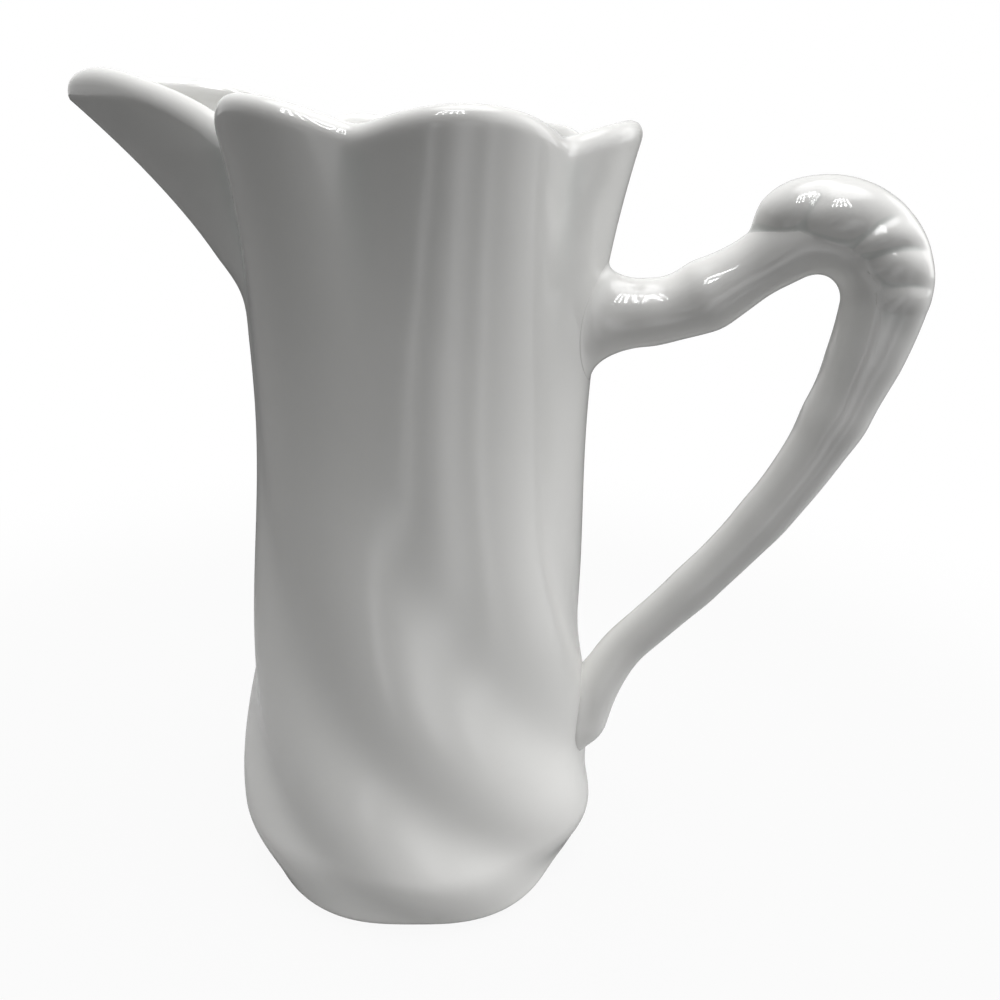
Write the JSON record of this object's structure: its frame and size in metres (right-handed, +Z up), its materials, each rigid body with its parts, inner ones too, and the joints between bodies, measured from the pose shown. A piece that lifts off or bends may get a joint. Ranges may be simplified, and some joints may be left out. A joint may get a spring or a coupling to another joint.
{
  "type": "ewer",
  "caption": "Tall white porcelain ewer with a lobed rim, flutes that twist towards the base, a beak spout and a branch handle with a leaf thumb rest.",
  "frame": {"origin": "centre of the foot ring's resting face, on the body's axis", "axes": "+Z up the body, +X towards the handle, -X towards the spout"},
  "size_m": [0.2323, 0.112, 0.2279],
  "materials": {
    "porcelain": "clear high-gloss glaze over white porcelain",
    "biscuit": "dry unglazed porcelain, slightly rough"
  },
  "bodies": {
    "root": {"body": "porcelain", "spout": "porcelain", "foot_ring": "biscuit", "branch_handle": "porcelain", "upper_collar": "porcelain", "lower_tongue": "porcelain", "thumb_leaf": "porcelain"}
  },
  "joints": []
}
